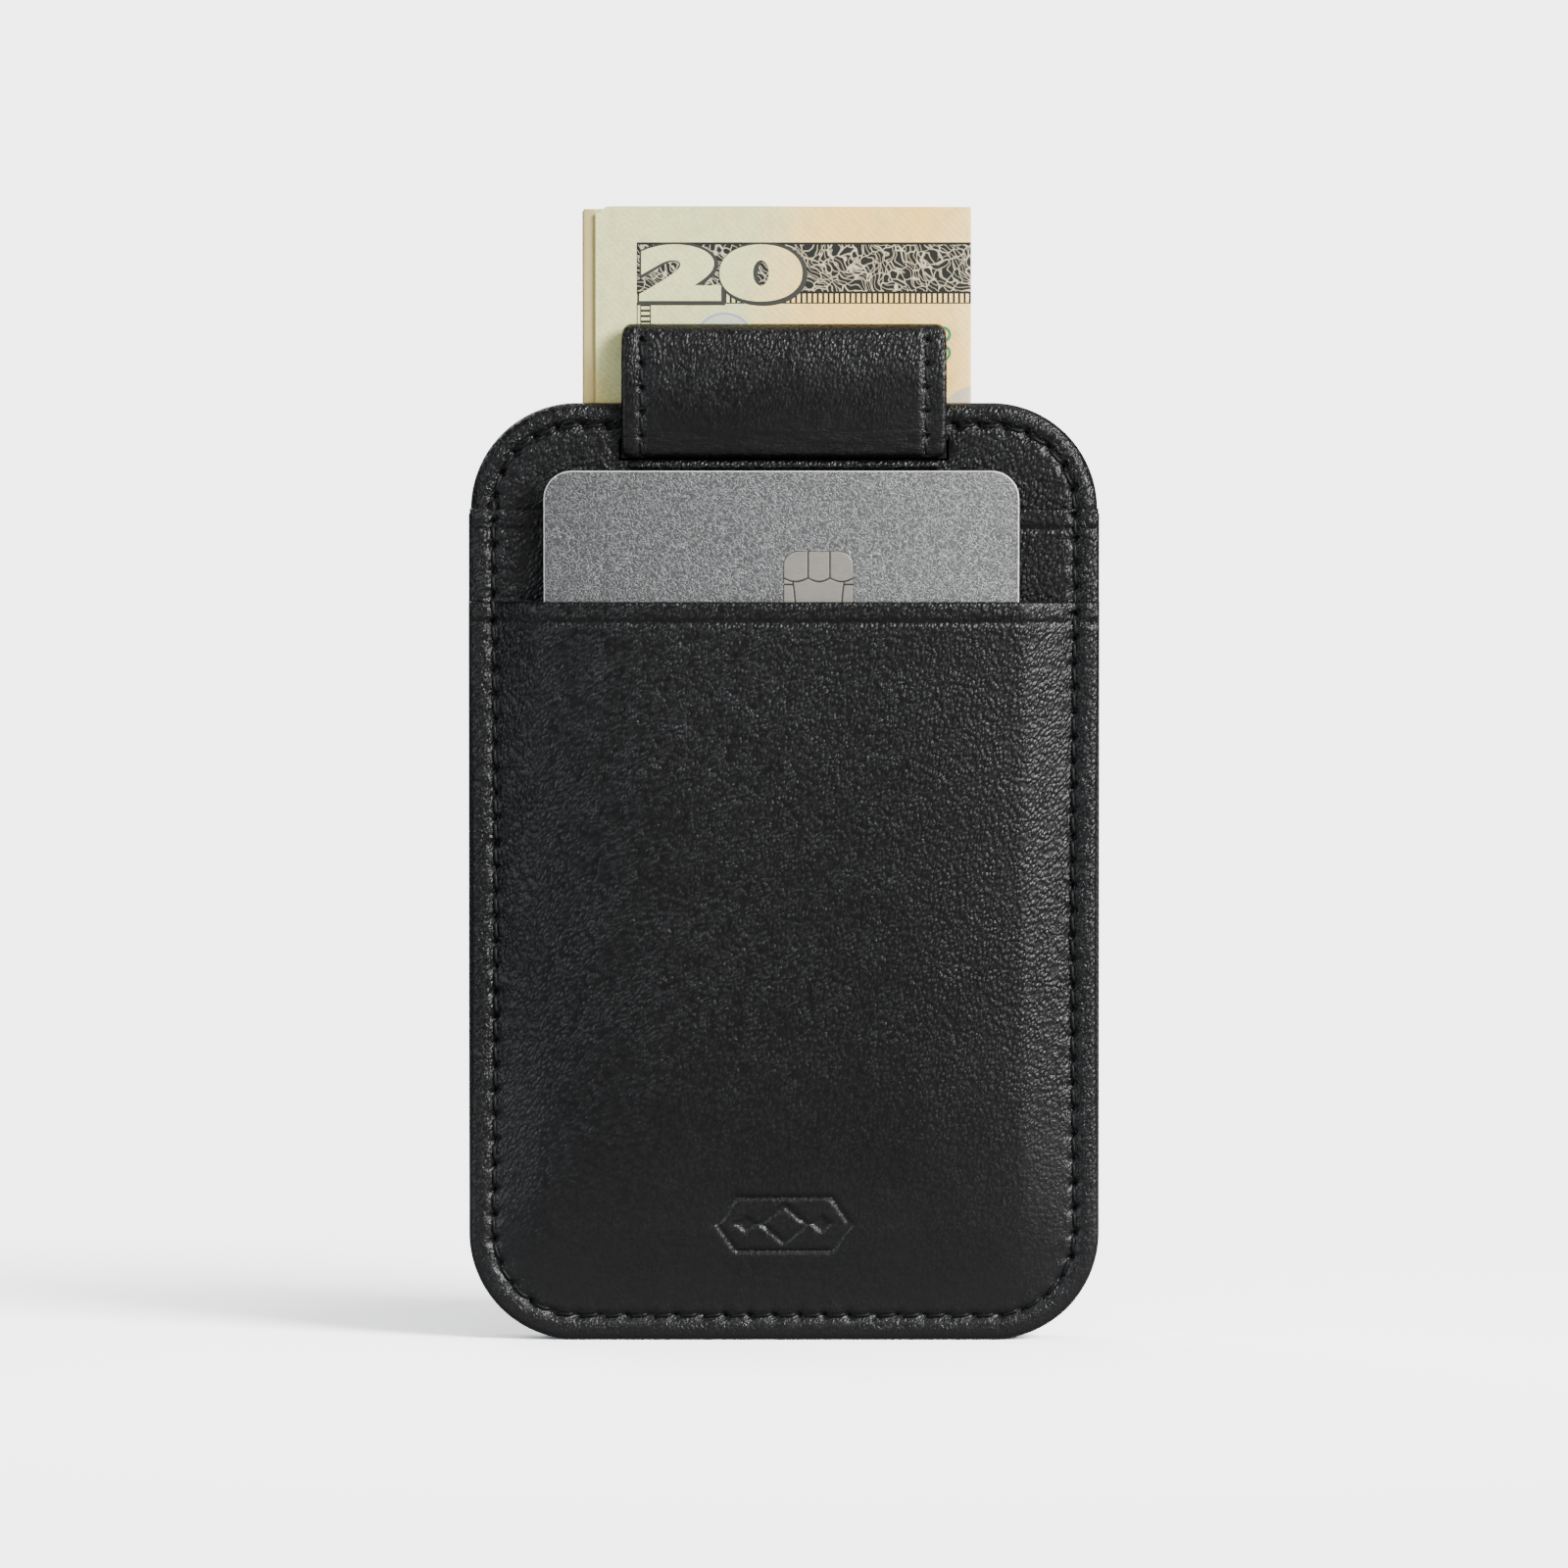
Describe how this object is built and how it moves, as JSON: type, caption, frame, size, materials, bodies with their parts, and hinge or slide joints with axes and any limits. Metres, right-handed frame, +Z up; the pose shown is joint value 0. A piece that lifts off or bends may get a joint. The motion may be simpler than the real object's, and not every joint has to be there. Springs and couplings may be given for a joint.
{
  "type": "magnetic money clip wallet",
  "caption": "Slim leather card case with a magnetic money clip at its top: a padded front tab and a rear flap pinch folded banknotes, and a card stands in the front pocket.",
  "frame": {"origin": "middle of the flat bottom edge that the case stands on, on the middle plane between the two leaves", "axes": "+Z up along the case's height, -Y towards the front pocket, +X to the right as seen from the front"},
  "size_m": [0.0718, 0.0124, 0.1292],
  "materials": {
    "case_leather": "semi-gloss black leather with a fine grain",
    "strap_leather": "semi-gloss black leather with a fine grain",
    "edge_paint": "smooth black edge paint",
    "lining": "fine black twill",
    "board": "grey-brown stiffening board",
    "padding": "dark felt padding",
    "magnet": "nickel-plated magnet",
    "thread": "waxed black thread",
    "card_metal": "grey metallic with a fine sparkle",
    "chip": "satin warm grey contact plate",
    "banknote": "matt banknote paper, pale green to peach"
  },
  "bodies": {
    "case": {"back_panel": "case_leather", "back_board": "board", "back_lining": "lining", "gusset_strip": "edge_paint", "front_lining": "lining", "front_board": "board", "front_panel": "case_leather", "second_pocket_lining": "lining", "second_pocket": "case_leather", "front_pocket_lining": "lining", "front_pocket": "case_leather", "case_seam_thread_front": "thread", "case_seam_thread_back": "thread", "front_tab_tail": "strap_leather", "rear_flap_tail": "strap_leather"},
    "front_tab": {"front_tab_cover": "strap_leather", "front_tab_padding": "padding", "front_tab_magnets": "magnet", "front_tab_thread": "thread"},
    "rear_flap": {"rear_flap_cover": "strap_leather", "rear_flap_padding": "padding", "rear_flap_magnets": "magnet", "rear_flap_thread": "thread"},
    "card": {"card_body": "card_metal", "card_chip": "chip"},
    "notes": {"banknote_outer": "banknote", "banknote_inner": "banknote"}
  },
  "joints": [
    {"name": "front_tab_bend", "type": "hinge", "parent": "case", "child": "front_tab", "pos_m": [0, -0.00325, 0.1011], "axis": [1, 0, 0], "range_deg": [0, 8]},
    {"name": "rear_flap_hinge", "type": "hinge", "parent": "case", "child": "rear_flap", "pos_m": [0, 0.00355, 0.08], "axis": [-1, 0, 0], "range_deg": [0, 120]},
    {"name": "card_slide", "type": "slide", "parent": "case", "child": "card", "axis": [0, 0.0262, -0.9997], "range_m": [-0.075, 0]},
    {"name": "notes_slide", "type": "slide", "parent": "case", "child": "notes", "axis": [0, 0, 1], "range_m": [-0.0575, 0.054]}
  ]
}
